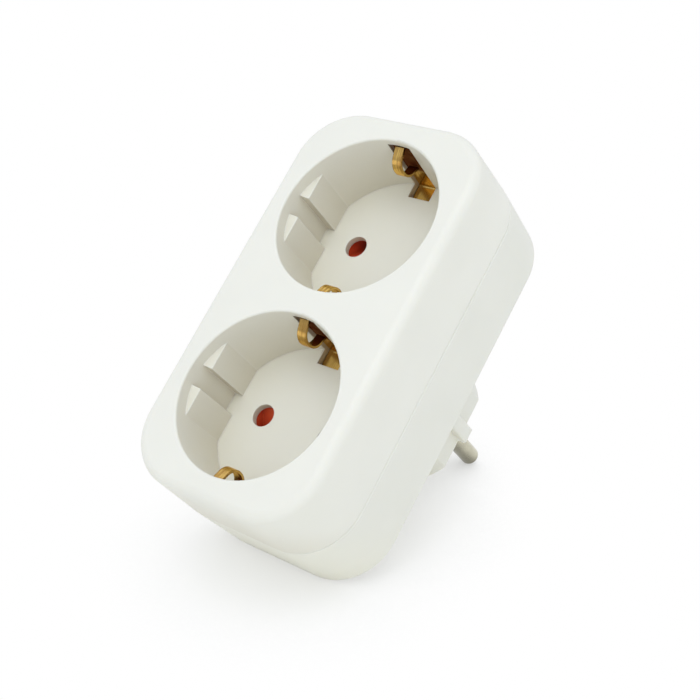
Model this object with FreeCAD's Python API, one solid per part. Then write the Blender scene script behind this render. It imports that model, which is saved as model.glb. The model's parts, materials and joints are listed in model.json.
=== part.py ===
import FreeCAD, Part
import math
import os

# Two-way earthed socket adapter: two round wells on the front, one round plug on the back.
# Everything is drawn in millimetres in the adapter's own axes: X across, Y from well to well,
# Z out of the front face, with Z = 0 on that face. The last step leans the finished pieces
# back on the lower edge and the two pin tips, as the adapter lies on a table.

V = FreeCAD.Vector

# Shell
side_margin = 5.8
end_margin = 6.45
corner_radius = 14.7
front_draft = 0.65
rear_draft = 0.30
shell_wall = 1.8
face_wall = 2.0
back_wall = 1.6
front_edge_radius = 2.4
back_edge_radius = 1.2
parting_bevel = 0.30
tongue_height = 1.4
tongue_wall = 0.8
tongue_clearance = 0.10

# Wells
well_gap = 1.9
well_radius = 20.0
well_depth = 18.3
well_wall = 2.3
well_floor = 1.8
well_relief = 0.2
rim_radius = 0.5
guide_height = 2.45
guide_gap = 5.2
guide_top_drop = 3.3
guide_top_slope = 0.7
pin_spacing = 19.0
hole_radius = 2.8
clip_slot_width = 6.2
clip_slot_top = 2.0
clip_slot_reach = 1.55
floor_slot_length = 4.0
floor_reach = 1.1

# Plug
pin_radius = 2.4
pin_length = 19.0
pin_tip_radius = 1.4
pin_hole_clearance = 0.05
pin_collar_radius = 3.6
pin_collar_height = 1.5
pin_root_radius = 2.6
pin_inner_radius = 2.2
pin_neck_radius = 1.9
pin_tail_radius = 1.25
pin_head_radius = 2.0
pin_head_top = 1.4
pin_head_height = 0.7
boss_radius = 18.0
boss_height = 23.0
boss_flat = 2.8
boss_key_width = 4.0
boss_key_height = 2.0
boss_wall = 2.0
boss_end_wall = 3.0
boss_corner_radius = 1.0
boss_edge_radius = 1.2
boss_key_edge = 0.7
earth_hole_radius = 2.9
earth_hole_offset = 10.0
earth_groove_gap = 0.3
earth_groove_depth = 1.15
earth_groove_end = 0.9

# Sheet metal
earth_thickness = 0.6
earth_width = 4.8
earth_bend = 0.9
clip_side_gap = 0.15
clip_top_gap = 0.20
clip_back_gap = 0.25
clip_top_bend = 0.75
clip_bow_width = 2.5
clip_bow_reach = 4.2
clip_bow_drop = 2.25
clip_bow_bend = 3.4
clip_foot_reach = 3.6
clip_foot_drop = 7.3
clip_foot_bend = 3.2
clip_tail_drop = 1.2
clip_tail_gap = 0.15
clip_shoulder = 0.9
bar_thickness = 0.8
bar_height = 8.0
bar_foot = 0.5
bar_headroom = 0.5
bar_waist = 4.2
bar_overhang = 4.4
bar_tab_width = 7.0
bar_tab_reach = 2.9
contact_thickness = 0.6
contact_height = 7.8
contact_base_gap = 3.5
contact_half_width = 3.6
contact_grip_gap = 0.02
contact_mouth_reach = 3.9
contact_grip_bend = 2.2
contact_base_bend = 0.7
contact_grip_pinch = 0.12
rivet_radius = 1.0
rivet_head_radius = 1.7
rivet_head_top = 1.2
rivet_head_height = 0.6
rivet_clearance = 0.03
plug_strap_thickness = 0.7
plug_strap_depth = 6.0
link_foot_length = 7.5
link_rivet_offset = 5.0
link_fork_depth = 3.0
sleeve_inner_radius = 2.42
sleeve_wall = 0.55
sleeve_rim = 0.75
sleeve_flange = 0.7
sleeve_slit = 0.8

# Shutters
shutter_lap = 0.6
shutter_gap = 0.3
shutter_height = 6.1
shutter_land = 1.4
shutter_side = 0.45
shutter_wall = 1.2
tray_wall = 1.2
tray_floor = 1.0
tray_ear = 4.0
tray_ear_thickness = 1.5
peg_radius = 1.2
peg_clearance = 0.05
peg_stand_out = 0.5
spring_length = 10.0
spring_radius = 1.6
spring_wire = 0.40
spring_turns = 5
spring_end_gap = 0.2
spigot_radius = 1.1
spigot_tip_radius = 0.88
spigot_length = 1.3

# Screws and ribs
screw_inset = 8.4
column_radius = 3.7
recess_wall = 1.2
screw_core_radius = 1.4
screw_hole_radius = 1.65
pilot_radius = 1.45
screw_length = 20.0
screw_head_radius = 2.8
screw_head_height = 2.0
screw_recess_radius = 3.2
screw_recess_depth = 8.0
screw_tip_space = 0.6
cross_width = 0.8
cross_length = 3.4
cross_depth = 1.1
rib_thickness = 1.2
rib_offset = 5.1
rib_height = 7.2
rib_inner_length = 9.3
rib_outer_length = 2.5
slot_clearance = 0.10
overshoot = 1.0

# Levels and places that follow from the sizes above
well_spacing = 2 * (well_radius + well_wall) + well_gap
body_width = 2 * (well_radius + side_margin)
body_length = well_spacing + 2 * (well_radius + end_margin)
floor_top = -well_depth
floor_under = floor_top - well_floor
parting_z = floor_under + floor_reach
strap_under = floor_under - earth_thickness
shutter_top = floor_under - shutter_gap
shutter_low = shutter_top - shutter_height
tray_top_of_floor = shutter_low - shutter_gap
bar_top_z = tray_top_of_floor - tray_floor - bar_headroom
bar_low_z = bar_top_z - bar_height
inner_back_z = bar_low_z - bar_foot
back_z = inner_back_z - back_wall
boss_end_z = back_z - boss_height
pin_tip_z = boss_end_z - pin_length
pin_x = pin_spacing / 2
guide_half_width = well_radius - guide_height
boss_half_width = boss_radius - boss_flat
boss_key_reach = boss_half_width + boss_key_height
strap_z = floor_under - earth_thickness / 2
bar_inner_x = pin_x + contact_base_gap + contact_thickness
bar_outer_x = bar_inner_x + bar_thickness
tab_top_z = bar_low_z + bar_thickness
riser_y = well_radius + clip_slot_reach - clip_back_gap - earth_thickness / 2
bridge_z = back_z - plug_strap_depth
foot_z = bridge_z + plug_strap_thickness / 2 + earth_thickness / 2
groove_y = boss_radius - earth_groove_depth
block_half = hole_radius + shutter_lap
shutter_travel = 2 * hole_radius + shutter_lap
shutter_far = block_half + shutter_travel + shutter_land
shutter_half = pin_x + block_half + shutter_side
spring_z = (strap_under - shutter_gap + shutter_low) / 2
tray_far = shutter_far + shutter_gap
tray_near = -(block_half + spring_length)
tray_half = shutter_half + shutter_gap
link_half_gap = 0.1


def box(x0, x1, y0, y1, z0, z1):
    """A block between two corners."""
    return Part.makeBox(x1 - x0, y1 - y0, z1 - z0, V(x0, y0, z0))


def rod(radius, z0, z1, x=0.0, y=0.0):
    """A cylinder that stands along Z."""
    return Part.makeCylinder(radius, z1 - z0, V(x, y, z0))


def cross_rod(radius, x0, x1, y, z):
    """A cylinder that lies along X."""
    return Part.makeCylinder(radius, x1 - x0, V(x0, y, z), V(1, 0, 0))


def rounded_outline(inset, z):
    """The shell's plan outline, drawn in by an inset on every side."""
    half_w = body_width / 2 - inset
    half_l = body_length / 2 - inset
    radius = max(corner_radius - inset, 0.5)
    straight_x, straight_y = half_w - radius, half_l - radius
    bow = radius * math.sqrt(0.5)
    edges = []
    for sx, sy in ((1, 1), (-1, 1), (-1, -1), (1, -1)):
        first = V(sx * half_w, sy * straight_y, z)
        middle = V(sx * (straight_x + bow), sy * (straight_y + bow), z)
        last = V(sx * straight_x, sy * half_l, z)
        if sx * sy < 0:
            first, last = last, first
        edges.append(Part.Arc(first, middle, last).toShape())
    wire_edges = []
    for arc, following in zip(edges, edges[1:] + edges[:1]):
        wire_edges.append(arc)
        start, end = arc.Vertexes[-1].Point, following.Vertexes[0].Point
        wire_edges.append(Part.makeLine(start, end))
    return Part.Wire(wire_edges)


def tapered_block(inset0, z0, inset1, z1):
    """A block with rounded corners whose sides lean between two insets."""
    return Part.makeLoft([rounded_outline(inset0, z0), rounded_outline(inset1, z1)], True, True)


def edges_at(shape, z):
    """The edges that lie wholly in the plane at height z."""
    return [e for e in shape.Edges if all(abs(v.Z - z) < 1e-4 for v in e.Vertexes)]


def low_edge(edge, level):
    """Whether an edge starts or ends below a level."""
    return any(v.Z < level for v in edge.Vertexes)


def fillet_path(points, radii):
    """A wire through points in one plane, with an arc of each radius at its corner."""
    edges = []
    start = points[0]
    for before, corner, after, radius in zip(points, points[1:], points[2:], radii):
        way_in = (before - corner).normalize()
        way_out = (after - corner).normalize()
        half = way_in.getAngle(way_out) / 2
        setback = radius / math.tan(half)
        centre = corner + (way_in + way_out).normalize() * (radius / math.sin(half))
        arc_start = corner + way_in * setback
        arc_end = corner + way_out * setback
        arc_middle = centre + (corner - centre).normalize() * radius
        edges.append(Part.makeLine(start, arc_start))
        edges.append(Part.Arc(arc_start, arc_middle, arc_end).toShape())
        start = arc_end
    edges.append(Part.makeLine(start, points[-1]))
    return Part.Wire(edges)


def folded_strip(points, radii, thickness, width, across):
    """Sheet metal folded along a path: the sheet is `width` wide along `across`."""
    path = fillet_path(points, radii)
    heading = (points[1] - points[0]).normalize()
    side = V(across)
    up = heading.cross(side).normalize()
    corners = []
    for a, b in ((1, 1), (-1, 1), (-1, -1), (1, -1)):
        corners.append(points[0] + side * (a * width / 2) + up * (b * thickness / 2))
    section = Part.makePolygon(corners + corners[:1])
    return Part.Wire(path).makePipeShell([section], True, False)


def mirrored_y(shape):
    """The same piece on the other side of the middle plane across the length."""
    return shape.mirror(V(0, 0, 0), V(0, 1, 0))


def mirrored_x(shape):
    """The same piece on the other side of the middle plane across the width."""
    return shape.mirror(V(0, 0, 0), V(1, 0, 0))


def screw_places():
    """The four screw axes, one in each corner of the shell."""
    x = body_width / 2 - screw_inset
    y = body_length / 2 - screw_inset
    return [V(sx * x, sy * y, 0) for sx in (1, -1) for sy in (1, -1)]


def well_cavity():
    """The room inside one well, with a rounded rim, drawn at its own centre."""
    flare = rim_radius * (1 - math.sqrt(0.5))
    rim_start = V(well_radius, 0, -rim_radius)
    rim_middle = V(well_radius + flare, 0, -flare)
    rim_end = V(well_radius + rim_radius, 0, 0)
    rim = Part.Arc(rim_start, rim_middle, rim_end).toShape()
    lines = Part.makePolygon([
        rim_end,
        V(well_radius + rim_radius, 0, overshoot),
        V(0, 0, overshoot),
        V(0, 0, floor_top),
        V(well_radius, 0, floor_top),
        rim_start,
    ])
    outline = Part.Wire([rim] + lines.Edges)
    return Part.Face(outline).revolve(V(0, 0, 0), V(0, 0, 1), 360)


def guide_blocks():
    """The four blocks on a well's side walls that steer the plug's keyed flats."""
    top_outer = -guide_top_drop
    top_inner = -(guide_top_drop + guide_top_slope)
    profile = Part.makePolygon([
        V(guide_half_width, 0, floor_top),
        V(guide_half_width, 0, top_inner),
        V(well_radius, 0, top_outer),
        V(well_radius + well_wall / 2, 0, top_outer),
        V(well_radius + well_wall / 2, 0, floor_top),
        V(guide_half_width, 0, floor_top),
    ])
    slab = Part.Face(profile).extrude(V(0, 2 * well_radius, 0))
    slab.translate(V(0, -well_radius, 0))
    slab = slab.common(rod(well_radius + well_wall / 2, floor_top, 0))
    slab = slab.cut(box(0, 2 * well_radius, -guide_gap / 2, guide_gap / 2,
                        floor_top - overshoot, overshoot))
    return [slab, mirrored_x(slab)]


def clip_slots():
    """The openings in a well's wall and floor that the two earth clips stand in."""
    half = clip_slot_width / 2
    reach = well_radius + clip_slot_reach
    start = well_radius - floor_slot_length
    slot = box(-half, half, start, reach, floor_under - overshoot, -clip_slot_top)
    return [slot, mirrored_y(slot)]


def well_cuts():
    """Everything that is cut out of the front shell at one well."""
    cuts = clip_slots()
    for sx in (1, -1):
        cuts.append(rod(hole_radius, floor_under - overshoot, floor_top + overshoot, sx * pin_x, 0))
    return cuts


def tongue_room():
    """The rebate inside the front shell's lower edge that takes the rear cover's tongue."""
    outer = shell_wall - tongue_wall - tongue_clearance
    inner = shell_wall + tongue_clearance
    top = parting_z + tongue_height + tongue_clearance
    ring = tapered_block(outer, parting_z - overshoot, outer, top)
    return ring.cut(tapered_block(inner, parting_z - 2 * overshoot, inner, top + overshoot))


def front_housing():
    """The front shell: face, side walls, two wells, screw columns and shutter pegs."""
    outer = tapered_block(front_draft, 0, 0, parting_z)
    outer = outer.makeFillet(front_edge_radius, edges_at(outer, 0))
    outer = outer.makeChamfer(parting_bevel, edges_at(outer, parting_z))
    hollow = tapered_block(front_draft + shell_wall, -face_wall, shell_wall, parting_z)
    shell = outer.cut(hollow)
    solids = []
    cavity = well_cavity()
    for side in (1, -1):
        centre = V(0, side * well_spacing / 2, 0)
        tube = rod(well_radius + well_wall, floor_under, -face_wall / 2, 0, centre.y)
        solids.append(tube)
    for place in screw_places():
        solids.append(rod(column_radius, parting_z, -face_wall / 2, place.x, place.y))
    envelope = tapered_block(front_draft + shell_wall / 2, -face_wall / 2,
                             shell_wall / 2, floor_under - overshoot)
    solids = [s.common(envelope) for s in solids]
    shell = shell.fuse(solids).cut(tongue_room())
    for side in (1, -1):
        centre = V(0, side * well_spacing / 2, 0)
        shell = shell.cut(cavity.translated(centre))
        shell = shell.fuse([g.translated(centre) for g in guide_blocks()])
        shell = shell.cut([c.translated(centre) for c in well_cuts()])
        for sx in (1, -1):
            peg_x = sx * (tray_half + tray_wall + tray_ear / 2)
            peg_low = floor_under - tray_ear_thickness - peg_stand_out
            shell = shell.fuse(rod(peg_radius, peg_low, floor_under, peg_x, centre.y))
    for place in screw_places():
        pilot_top = back_z + screw_recess_depth + screw_length + screw_tip_space
        shell = shell.cut(rod(pilot_radius, parting_z - overshoot, pilot_top, place.x, place.y))
    return shell.removeSplitter()


def boss_outline(trim):
    """The plug boss's plan shape, drawn in by a trim: round, with flats on two sides."""
    radius = boss_radius - trim
    half = boss_half_width - trim
    rise = math.sqrt(radius ** 2 - half ** 2)
    right_low, right_high = V(half, -rise, 0), V(half, rise, 0)
    left_high, left_low = V(-half, rise, 0), V(-half, -rise, 0)
    return Part.Wire([
        Part.makeLine(right_low, right_high),
        Part.Arc(right_high, V(0, radius, 0), left_high).toShape(),
        Part.makeLine(left_high, left_low),
        Part.Arc(left_low, V(0, -radius, 0), right_low).toShape(),
    ])


def boss_block(trim, z0, z1):
    """The boss's outline raised between two levels."""
    return Part.Face(boss_outline(trim)).extrude(V(0, 0, z1 - z0)).translated(V(0, 0, z0))


def plug_boss():
    """The round plug body that stands out of the back, hollow, with its two side keys."""
    boss = boss_block(0, boss_end_z, inner_back_z)
    corners = [e for e in boss.Edges if abs(e.Vertexes[0].Z - e.Vertexes[-1].Z) > boss_end_wall]
    boss = boss.makeFillet(boss_corner_radius, corners)
    boss = boss.makeFillet(boss_edge_radius, edges_at(boss, boss_end_z))
    half_key = boss_key_width / 2
    x0, x1 = boss_half_width - boss_wall / 2, boss_key_reach
    key = box(x0, x1, -half_key, half_key, boss_end_z, back_z + back_wall / 2)
    outer = [e for e in key.Edges if all(v.X > x1 - slot_clearance for v in e.Vertexes)]
    key = key.makeFillet(boss_key_edge, [e for e in outer if low_edge(e, back_z)])
    return boss.fuse([key, mirrored_x(key)]).removeSplitter()


def plug_boss_cuts():
    """The holes, earth grooves and hollow of the plug boss."""
    end_top = boss_end_z + boss_end_wall
    cuts = [boss_block(boss_wall, end_top, inner_back_z + overshoot)]
    for sx in (1, -1):
        cuts.append(rod(pin_root_radius + pin_hole_clearance, boss_end_z - overshoot,
                        end_top + overshoot, sx * pin_x))
        cuts.append(rod(pin_collar_radius + pin_hole_clearance, end_top, inner_back_z,
                        sx * pin_x))
    cuts.append(rod(earth_hole_radius, boss_end_z - overshoot, end_top + overshoot,
                    0, earth_hole_offset))
    half = earth_width / 2 + earth_groove_gap
    groove_low = boss_end_z + earth_groove_end
    slot_high = bridge_z + plug_strap_thickness
    slot_low = bridge_z - plug_strap_thickness
    for sy in (1, -1):
        y0, y1 = sorted((sy * groove_y, sy * (boss_radius + overshoot)))
        cuts.append(box(-half, half, y0, y1, groove_low, slot_high))
        y0, y1 = sorted((sy * (boss_radius - 2 * boss_wall), sy * (boss_radius + overshoot)))
        cuts.append(box(-half, half, y0, y1, slot_low, slot_high))
    return cuts


def bar_ribs():
    """The ribs on the rear cover's floor whose slots carry the two busbars."""
    ribs = []
    slot_low = bar_inner_x - slot_clearance
    slot_high = bar_outer_x + slot_clearance
    top = inner_back_z + rib_height
    for side in (1, -1):
        for offset in (rib_offset, -rib_offset):
            y = side * well_spacing / 2 + offset
            y0, y1 = y - rib_thickness / 2, y + rib_thickness / 2
            rib = box(slot_low - rib_inner_length, slot_high + rib_outer_length, y0, y1,
                      inner_back_z - back_wall / 2, top)
            rib = rib.cut(box(slot_low, slot_high, y0 - overshoot, y1 + overshoot,
                              bar_low_z, top + overshoot))
            ribs.extend([rib, mirrored_x(rib)])
    return ribs


def rear_cover():
    """The rear shell: side walls, back, plug boss, screw columns and busbar ribs."""
    outer = tapered_block(0, parting_z, rear_draft, back_z)
    outer = outer.makeFillet(back_edge_radius, edges_at(outer, back_z))
    outer = outer.makeChamfer(parting_bevel, edges_at(outer, parting_z))
    hollow = tapered_block(shell_wall, parting_z, rear_draft + shell_wall, inner_back_z)
    shell = outer.cut(hollow)
    tongue_inset = shell_wall - tongue_wall
    tongue = tapered_block(tongue_inset, parting_z - tongue_wall, tongue_inset,
                           parting_z + tongue_height)
    tongue = tongue.cut(tapered_block(shell_wall, parting_z - tongue_wall - overshoot, shell_wall,
                                      parting_z + tongue_height + overshoot))
    columns = []
    for place in screw_places():
        seat = back_z + screw_recess_depth
        columns.append(rod(column_radius, seat, parting_z, place.x, place.y))
        columns.append(rod(screw_recess_radius + recess_wall, back_z + back_wall / 2,
                           seat + recess_wall, place.x, place.y))
    envelope = tapered_block(shell_wall / 2, parting_z, rear_draft + shell_wall / 2,
                             back_z + back_wall / 2)
    columns = [c.common(envelope) for c in columns]
    shell = shell.fuse([tongue, plug_boss()] + columns + bar_ribs())
    shell = shell.cut(plug_boss_cuts())
    relief_radius = well_radius + well_wall + well_relief
    for side in (1, -1):
        shell = shell.cut(rod(relief_radius, floor_under - well_relief, parting_z + overshoot,
                              0, side * well_spacing / 2))
    for place in screw_places():
        recess_top = back_z + screw_recess_depth
        shell = shell.cut(rod(screw_recess_radius, back_z - overshoot, recess_top, place.x, place.y))
        shell = shell.cut(rod(screw_hole_radius, recess_top - overshoot, parting_z + overshoot,
                              place.x, place.y))
    return shell.removeSplitter()


def plug_pin():
    """One solid turned pin: rounded tip, collar behind the boss's end wall, riveted tail."""
    collar_low = boss_end_z + boss_end_wall
    collar_high = collar_low + pin_collar_height
    neck_low = bridge_z + plug_strap_depth / 2
    head_top = tab_top_z + pin_head_height
    flat = pin_radius - pin_tip_radius
    bow = pin_tip_radius * math.sqrt(0.5)
    tip_start = V(flat, 0, pin_tip_z)
    tip_middle = V(flat + bow, 0, pin_tip_z + pin_tip_radius - bow)
    tip_end = V(pin_radius, 0, pin_tip_z + pin_tip_radius)
    tip = Part.Arc(tip_start, tip_middle, tip_end).toShape()
    rest = Part.makePolygon([
        tip_end,
        V(pin_radius, 0, boss_end_z),
        V(pin_root_radius, 0, boss_end_z),
        V(pin_root_radius, 0, collar_low),
        V(pin_collar_radius, 0, collar_low),
        V(pin_collar_radius, 0, collar_high),
        V(pin_inner_radius, 0, collar_high),
        V(pin_inner_radius, 0, neck_low),
        V(pin_neck_radius, 0, neck_low),
        V(pin_neck_radius, 0, bar_low_z),
        V(pin_tail_radius, 0, bar_low_z),
        V(pin_tail_radius, 0, tab_top_z),
        V(pin_head_radius, 0, tab_top_z),
        V(pin_head_top, 0, head_top),
        V(0, 0, head_top),
        V(0, 0, pin_tip_z),
        tip_start,
    ])
    outline = Part.Wire([tip] + rest.Edges)
    pin = Part.Face(outline).revolve(V(0, 0, 0), V(0, 0, 1), 360)
    return pin.translated(V(pin_x, 0, 0))


def busbar():
    """One live busbar: a strip on edge that joins two contacts, with a tab for the plug pin."""
    half = well_spacing / 2 + bar_overhang
    neck = well_spacing / 2 - bar_overhang
    top = bar_top_z
    waist = bar_low_z + bar_waist
    outline = Part.makePolygon([
        V(bar_inner_x, -half, bar_low_z),
        V(bar_inner_x, half, bar_low_z),
        V(bar_inner_x, half, top),
        V(bar_inner_x, neck, top),
        V(bar_inner_x, neck - bar_waist / 2, waist),
        V(bar_inner_x, -neck + bar_waist / 2, waist),
        V(bar_inner_x, -neck, top),
        V(bar_inner_x, -half, top),
        V(bar_inner_x, -half, bar_low_z),
    ])
    strip = Part.Face(outline).extrude(V(bar_thickness, 0, 0))
    middle_x = bar_inner_x + bar_thickness / 2
    middle_z = bar_low_z + bar_thickness / 2
    tab = folded_strip(
        [V(middle_x, 0, waist), V(middle_x, 0, middle_z), V(pin_x - bar_tab_reach, 0, middle_z)],
        [bar_thickness], bar_thickness, bar_tab_width, V(0, 1, 0))
    notch = box(bar_inner_x - overshoot, bar_outer_x + overshoot, -bar_tab_width / 2, bar_tab_width / 2,
                bar_low_z - overshoot, bar_low_z + 1.5 * bar_thickness)
    bar = strip.cut(notch).fuse(tab).removeSplitter()
    bar = bar.cut(rod(pin_tail_radius + rivet_clearance, bar_low_z - overshoot,
                      tab_top_z + overshoot, pin_x))
    for side in (1, -1):
        bar = bar.cut(cross_rod(rivet_radius, bar_inner_x - overshoot, bar_outer_x + overshoot,
                                side * well_spacing / 2, rivet_z()))
    return bar


def rivet_z():
    """The height of the rivets that hold the contacts on the busbars."""
    return bar_low_z + bar_height / 2


def contact_clip():
    """One spring contact: a strip folded to a U whose two bowed legs grip a plug pin."""
    base_x = bar_inner_x - contact_thickness / 2
    grip = pin_radius + contact_grip_gap + contact_thickness / 2 - contact_grip_pinch
    mouth_x = pin_x - contact_mouth_reach
    mouth_y = contact_half_width - contact_thickness / 2
    z = bar_top_z - contact_height / 2
    points = [
        V(mouth_x, mouth_y, z),
        V(pin_x, grip, z),
        V(base_x, contact_half_width, z),
        V(base_x, -contact_half_width, z),
        V(pin_x, -grip, z),
        V(mouth_x, -mouth_y, z),
    ]
    bends = [contact_grip_bend, contact_base_bend, contact_base_bend, contact_grip_bend]
    clip = folded_strip(points, bends, contact_thickness, contact_height, V(0, 0, 1))
    clip = clip.cut(cross_rod(rivet_radius, base_x - contact_thickness,
                              base_x + contact_thickness, 0, rivet_z()))
    return clip.translated(V(0, well_spacing / 2, 0))


def contact_rivets():
    """The four rivets that hold the contacts on the busbars."""
    inner_x = bar_inner_x - contact_thickness
    shank = rivet_radius - rivet_clearance
    rivet = cross_rod(shank, inner_x - rivet_head_height / 2, bar_outer_x + rivet_head_height / 2,
                      well_spacing / 2, rivet_z())
    for x, way in ((inner_x, -1), (bar_outer_x, 1)):
        head = Part.makeCone(rivet_head_radius, rivet_head_top, rivet_head_height,
                             V(x, well_spacing / 2, rivet_z()), V(way, 0, 0))
        rivet = rivet.fuse(head)
    rivet = rivet.removeSplitter()
    pair = [rivet, mirrored_y(rivet)]
    return Part.makeCompound(pair + [mirrored_x(r) for r in pair])


def earth_strap():
    """One well's earth strap: flat under the floor, folded up and bowed at both ends."""
    top_z = -clip_slot_top - clip_top_gap - earth_thickness / 2
    bow_y = well_radius - clip_bow_reach
    bow_z = top_z - clip_bow_drop
    foot_y = well_radius - clip_foot_reach
    foot_low = top_z - clip_foot_drop
    tail_y = riser_y - earth_thickness - clip_tail_gap
    half = [
        V(0, 0, strap_z),
        V(0, riser_y, strap_z),
        V(0, riser_y, top_z),
        V(0, bow_y, bow_z),
        V(0, foot_y, foot_low),
        V(0, tail_y, foot_low - clip_tail_drop),
    ]
    riser_width = clip_slot_width - 2 * clip_side_gap
    arm = folded_strip(half, [earth_bend, clip_top_bend, clip_bow_bend, clip_foot_bend],
                       earth_thickness, riser_width, V(1, 0, 0))
    inside_y = riser_y - earth_thickness / 2 - clip_tail_gap / 2
    shoulder_y = well_radius - floor_slot_length - clip_shoulder
    tail_low = foot_low - clip_tail_drop - earth_thickness
    for sx in (1, -1):
        x0, x1 = sorted((sx * clip_bow_width / 2, sx * clip_slot_width))
        arm = arm.cut(box(x0, x1, bow_y - overshoot, inside_y, tail_low, 0))
        x0, x1 = sorted((sx * earth_width / 2, sx * clip_slot_width))
        arm = arm.cut(box(x0, x1, -overshoot, shoulder_y, strap_under - overshoot, floor_top))
    strap = arm.fuse(mirrored_y(arm)).removeSplitter()
    return strap.translated(V(0, well_spacing / 2, 0))


def earth_link():
    """The strip that joins both earth straps to the plug's own earth contact."""
    ear_z = strap_under - earth_thickness / 2
    ear_y = well_spacing / 2 + tray_near - tray_wall - shutter_gap
    split_z = ear_z - link_fork_depth
    leg = folded_strip([V(0, 0, split_z), V(0, 0, foot_z), V(0, -link_foot_length, foot_z)],
                       [earth_bend], earth_thickness, earth_width, V(1, 0, 0))
    ear_width = earth_width / 2 - link_half_gap
    ears = []
    for way in (1, -1):
        ear = folded_strip([V(0, 0, split_z), V(0, 0, ear_z), V(0, way * ear_y, ear_z)],
                           [earth_bend], earth_thickness, ear_width, V(1, 0, 0))
        ears.append(ear.translated(V(-way * (link_half_gap + ear_width / 2), 0, 0)))
    link = leg.fuse(ears).removeSplitter()
    hole = rod(rivet_radius, foot_z - overshoot, foot_z + overshoot, 0, -link_rivet_offset)
    return link.cut(hole)


def plug_earth_strap():
    """The plug's earth contact: a bridge inside the boss and two legs in its grooves."""
    leg_y = groove_y + plug_strap_thickness / 2 + rivet_clearance
    leg_low = boss_end_z + earth_groove_end + shutter_gap
    strap = folded_strip(
        [V(0, leg_y, leg_low), V(0, leg_y, bridge_z), V(0, -leg_y, bridge_z), V(0, -leg_y, leg_low)],
        [plug_strap_thickness] * 2, plug_strap_thickness, earth_width, V(1, 0, 0))
    strap = strap.cut(rod(rivet_radius, bridge_z - overshoot, bridge_z + overshoot, 0, -link_rivet_offset))
    return strap.cut(rod(rivet_radius, bridge_z - overshoot, bridge_z + overshoot, 0, earth_hole_offset))


def earth_sleeve():
    """The slit sleeve behind the earth hole, with a tail riveted into the bridge."""
    low = boss_end_z + boss_end_wall + shutter_gap
    flange_top = bridge_z - plug_strap_thickness / 2
    outer = sleeve_inner_radius + sleeve_wall
    shank = rivet_radius - rivet_clearance
    head_z = bridge_z + plug_strap_thickness / 2
    y = earth_hole_offset
    sleeve = rod(outer, low, flange_top, 0, y).fuse(
        [rod(outer + sleeve_rim, flange_top - sleeve_flange, flange_top, 0, y),
         rod(shank, flange_top, head_z + rivet_head_height / 2, 0, y),
         Part.makeCone(rivet_head_radius, rivet_head_top, rivet_head_height,
                       V(0, y, head_z))])
    sleeve = sleeve.cut(rod(sleeve_inner_radius, low - overshoot, flange_top - sleeve_flange, 0, y))
    slit = box(-sleeve_slit / 2, sleeve_slit / 2, y - 2 * outer, y + 2 * outer,
               low - overshoot, flange_top - 2 * sleeve_flange)
    return sleeve.cut(slit).removeSplitter()


def earth_rivet():
    """The rivet that joins the link's foot to the plug's earth strap."""
    y = -link_rivet_offset
    low = bridge_z - plug_strap_thickness / 2
    high = foot_z + earth_thickness / 2
    shank = rod(rivet_radius - rivet_clearance, low, high, 0, y)
    heads = [
        Part.makeCone(rivet_head_radius, rivet_head_top, rivet_head_height, V(0, y, high)),
        Part.makeCone(rivet_head_radius, rivet_head_top, rivet_head_height,
                      V(0, y, low), V(0, 0, -1)),
    ]
    return shank.fuse(heads).removeSplitter()


def shutter():
    """The upper well's shutter: two ramps under the pin holes and a window beside each."""
    web_top = strap_under - shutter_gap
    body = box(-shutter_half, shutter_half, -block_half, shutter_far, shutter_low, shutter_top)
    body = body.cut(box(-earth_width / 2 - shutter_lap, earth_width / 2 + shutter_lap,
                        -block_half - overshoot, shutter_far + overshoot, web_top, shutter_top + overshoot))
    ramp = Part.makePolygon([
        V(0, -block_half + shutter_lap / 2, shutter_top + 0.01),
        V(0, block_half, shutter_low + shutter_lap),
        V(0, block_half, shutter_low - overshoot),
        V(0, block_half + shutter_travel, shutter_low - overshoot),
        V(0, block_half + shutter_travel, shutter_top + 0.01),
        V(0, -block_half + shutter_lap / 2, shutter_top + 0.01),
    ])
    for sx in (1, -1):
        window = Part.Face(ramp).extrude(V(2 * block_half - shutter_lap, 0, 0))
        window.translate(V(sx * pin_x - block_half + shutter_lap / 2, 0, 0))
        body = body.cut(window)
    pocket_x = pin_x - block_half - shutter_wall / 2
    pocket = box(-pocket_x, pocket_x, -block_half + shutter_wall, shutter_far - shutter_wall,
                 shutter_low - overshoot, web_top - shutter_wall)
    spigot = Part.makeCone(spigot_radius, spigot_tip_radius, spigot_length,
                           V(0, -block_half, spring_z), V(0, -1, 0))
    body = body.cut(pocket).fuse(spigot).removeSplitter()
    return body.translated(V(0, well_spacing / 2, 0))


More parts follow.
